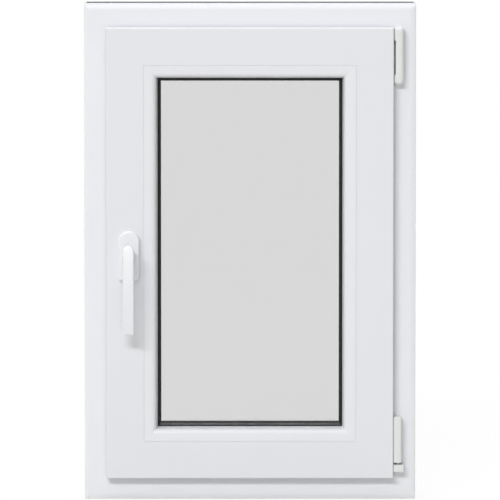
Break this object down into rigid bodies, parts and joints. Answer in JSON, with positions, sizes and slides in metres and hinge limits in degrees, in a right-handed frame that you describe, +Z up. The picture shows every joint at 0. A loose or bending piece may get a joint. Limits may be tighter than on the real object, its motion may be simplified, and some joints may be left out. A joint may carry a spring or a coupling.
{
  "type": "basement window",
  "caption": "Small white plastic tilt-and-turn window with one glazed sash, a lever handle on the left and hinges on the right.",
  "frame": {"origin": "middle of the underside of the outer frame, at mid depth", "axes": "+Z up, +X to the right as seen from the room, +Y from the room to the outside"},
  "size_m": [0.5, 0.1433, 0.75],
  "materials": {
    "frame_plastic": "white window plastic, smooth satin gloss",
    "sash_plastic": "white window plastic, smooth satin gloss",
    "bead_plastic": "white window plastic, smooth satin gloss",
    "glass": "clear float glass",
    "spacer_metal": "mill finish",
    "block_plastic": "plain moulded plastic",
    "glazing_rubber": "black extruded seal",
    "seal_rubber": "black extruded seal",
    "handle_coat": "white powder coat, satin",
    "spindle_steel": "zinc plated",
    "hinge_cover_plastic": "white moulded cover",
    "hinge_steel": "zinc plated",
    "strip_dark": "dark grey, matt",
    "cap_plastic": "white moulded cap"
  },
  "bodies": {
    "window": {"frame_head": "frame_plastic", "frame_sill": "frame_plastic", "frame_jamb_left": "frame_plastic", "frame_jamb_right": "frame_plastic", "sash_top_rail": "sash_plastic", "sash_bottom_rail": "sash_plastic", "sash_handle_stile": "sash_plastic", "sash_hinge_stile": "sash_plastic", "bead_top": "bead_plastic", "bead_bottom": "bead_plastic", "bead_left": "bead_plastic", "bead_right": "bead_plastic", "glass_inner_pane": "glass", "glass_outer_pane": "glass", "glazing_spacer": "spacer_metal", "glazing_blocks": "block_plastic", "inner_glazing_gasket": "glazing_rubber", "outer_glazing_gasket": "glazing_rubber", "sash_overlap_seal": "seal_rubber", "frame_stop_seal": "seal_rubber", "handle_rose": "handle_coat", "handle_collar": "handle_coat", "top_hinge_cover": "hinge_cover_plastic", "bottom_hinge_barrel": "hinge_cover_plastic", "bottom_hinge_pivot": "hinge_cover_plastic", "bottom_hinge_pin": "hinge_steel", "head_strip": "strip_dark", "drain_cap_left": "cap_plastic", "drain_cap_right": "cap_plastic"},
    "handle": {"handle_lever": "handle_coat", "handle_spindle": "spindle_steel"}
  },
  "joints": [
    {"name": "handle_turn", "type": "hinge", "parent": "window", "child": "handle", "pos_m": [-0.1825, -0.053, 0.373], "axis": [0, -1, 0], "range_deg": [0, 180]}
  ]
}
